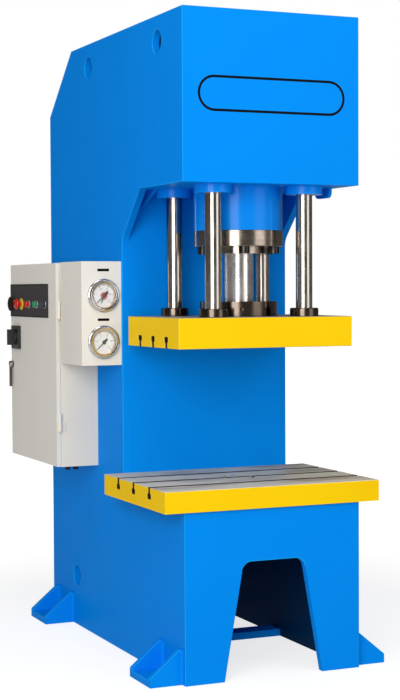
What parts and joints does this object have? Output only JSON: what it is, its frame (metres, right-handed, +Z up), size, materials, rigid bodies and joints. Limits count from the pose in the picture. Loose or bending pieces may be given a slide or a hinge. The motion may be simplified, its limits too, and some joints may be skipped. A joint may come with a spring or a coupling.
{
  "type": "hydraulic press",
  "caption": "C-frame hydraulic press with a rod-guided moving platen above a T-slotted table, an electrical cabinet with controls, and a gauge box on the side.",
  "frame": {"origin": "centre of the rectangle of four anchor holes in the feet, at floor level", "axes": "+X right, +Y from the front to the rear, +Z up; the press axis is at X 0, Y -0.379"},
  "size_m": [0.936, 1.355, 2.15],
  "materials": {
    "blue_paint": "semi-gloss",
    "yellow_paint": "semi-gloss",
    "ground_steel": "ground",
    "dark_steel": "burnished",
    "black_oxide": "black oxide",
    "chrome": "hard chromed",
    "bronze": "turned",
    "grey_paint": "satin",
    "valve_metal": "machined",
    "cabinet_paint": "fine texture",
    "black_plastic": "satin",
    "panel_black": "satin",
    "grey_plastic": "satin",
    "red_plastic": "gloss",
    "green_plastic": "gloss",
    "bezel_steel": "polished",
    "dial_white": "matt",
    "gauge_glass": "clear",
    "needle_black": "matt",
    "needle_red": "matt",
    "needle_green": "matt"
  },
  "bodies": {
    "frame": {"left_side_plate": "blue_paint", "right_side_plate": "blue_paint", "head_front_plate": "blue_paint", "head_bottom_plate": "blue_paint", "head_top_plate": "blue_paint", "rear_slope_plate": "blue_paint", "column_front_plate": "blue_paint", "bed_front_plate": "blue_paint", "bed_top_plate": "blue_paint", "base_ties": "blue_paint", "throat_ribs": "blue_paint", "rear_upper_cover": "blue_paint", "rear_lower_cover": "blue_paint", "cover_screws": "black_oxide", "feet": "blue_paint", "table": "yellow_paint", "table_plug": "ground_steel", "table_bolts": "black_oxide", "cylinder_barrel": "blue_paint", "cylinder_gland": "dark_steel", "cylinder_screws": "black_oxide", "guide_housings": "blue_paint", "guide_bushes": "bronze", "power_shelf": "blue_paint", "oil_tank": "grey_paint", "tank_lid": "grey_paint", "motor_housing": "blue_paint", "pump": "dark_steel", "valve_stack": "valve_metal", "hydraulic_pipes": "dark_steel", "cabinet_box": "cabinet_paint", "cabinet_glands": "black_plastic", "control_gear": "grey_plastic", "gauge_box": "cabinet_paint", "gauge_cases": "bezel_steel", "gauge_dials": "dial_white", "gauge_glasses": "gauge_glass"},
    "ram_unit": {"ram": "chrome", "ram_flange": "dark_steel", "ram_flange_screws": "black_oxide", "platen": "yellow_paint", "guide_rods": "chrome", "rod_collars": "dark_steel", "rod_stop_rings": "dark_steel"},
    "door": {"cabinet_door": "cabinet_paint", "control_panel": "panel_black", "device_barrels": "black_plastic", "isolator_plate": "black_plastic"},
    "palm_button": {"palm_button": "black_plastic"},
    "emergency_stop": {"emergency_stop": "red_plastic"},
    "stop_button": {"stop_button": "red_plastic"},
    "start_button": {"start_button": "green_plastic"},
    "mode_selector": {"mode_selector": "black_plastic"},
    "isolator_knob": {"isolator_knob": "black_plastic"},
    "door_handle": {"door_handle": "black_plastic"},
    "upper_needle": {"upper_needle": "needle_black"},
    "lower_needle": {"lower_needle": "needle_black"},
    "red_set_needle": {"red_set_needle": "needle_red"},
    "green_set_needle": {"green_set_needle": "needle_green"},
    "motor_rotor": {"motor_rotor": "valve_metal"}
  },
  "joints": [
    {"name": "ram_slide", "type": "slide", "parent": "frame", "child": "ram_unit", "axis": [0, 0, 1], "range_m": [-0.34, 0.09]},
    {"name": "door_hinge", "type": "hinge", "parent": "frame", "child": "door", "pos_m": [-0.463, 0.141, 0.99], "axis": [0, 0, 1], "range_deg": [0, 110]},
    {"name": "palm_press", "type": "slide", "parent": "door", "child": "palm_button", "axis": [1, 0, 0], "range_m": [0, 0.0038], "stiffness_N_per_m": 800},
    {"name": "emergency_press", "type": "slide", "parent": "door", "child": "emergency_stop", "axis": [1, 0, 0], "range_m": [0, 0.005]},
    {"name": "stop_press", "type": "slide", "parent": "door", "child": "stop_button", "axis": [1, 0, 0], "range_m": [0, 0.004], "stiffness_N_per_m": 800},
    {"name": "start_press", "type": "slide", "parent": "door", "child": "start_button", "axis": [1, 0, 0], "range_m": [0, 0.004], "stiffness_N_per_m": 800},
    {"name": "selector_turn", "type": "hinge", "parent": "door", "child": "mode_selector", "pos_m": [-0.474, 0.266, 1.208], "axis": [1, 0, 0], "range_deg": [-45, 45]},
    {"name": "isolator_turn", "type": "hinge", "parent": "door", "child": "isolator_knob", "pos_m": [-0.471, 0.618, 1.081], "axis": [1, 0, 0], "range_deg": [0, 90]},
    {"name": "handle_turn", "type": "hinge", "parent": "door", "child": "door_handle", "pos_m": [-0.471, 0.68, 0.975], "axis": [-1, 0, 0], "range_deg": [0, 90]},
    {"name": "upper_needle_turn", "type": "hinge", "parent": "frame", "child": "upper_needle", "pos_m": [-0.382, -0.105, 1.241], "axis": [0, 1, 0], "range_deg": [0, 270], "stiffness_Nm_per_rad": 0.002},
    {"name": "lower_needle_turn", "type": "hinge", "parent": "frame", "child": "lower_needle", "pos_m": [-0.382, -0.105, 1.08], "axis": [0, 1, 0], "range_deg": [0, 270], "stiffness_Nm_per_rad": 0.002},
    {"name": "red_set_turn", "type": "hinge", "parent": "frame", "child": "red_set_needle", "pos_m": [-0.382, -0.105, 1.241], "axis": [0, 1, 0], "range_deg": [-205, 65]},
    {"name": "green_set_turn", "type": "hinge", "parent": "frame", "child": "green_set_needle", "pos_m": [-0.382, -0.105, 1.241], "axis": [0, 1, 0], "range_deg": [-75, 195]},
    {"name": "motor_turn", "type": "hinge", "parent": "frame", "child": "motor_rotor", "pos_m": [-0.03, 0.296, 1.153], "axis": [1, 0, 0], "continuous": true}
  ]
}
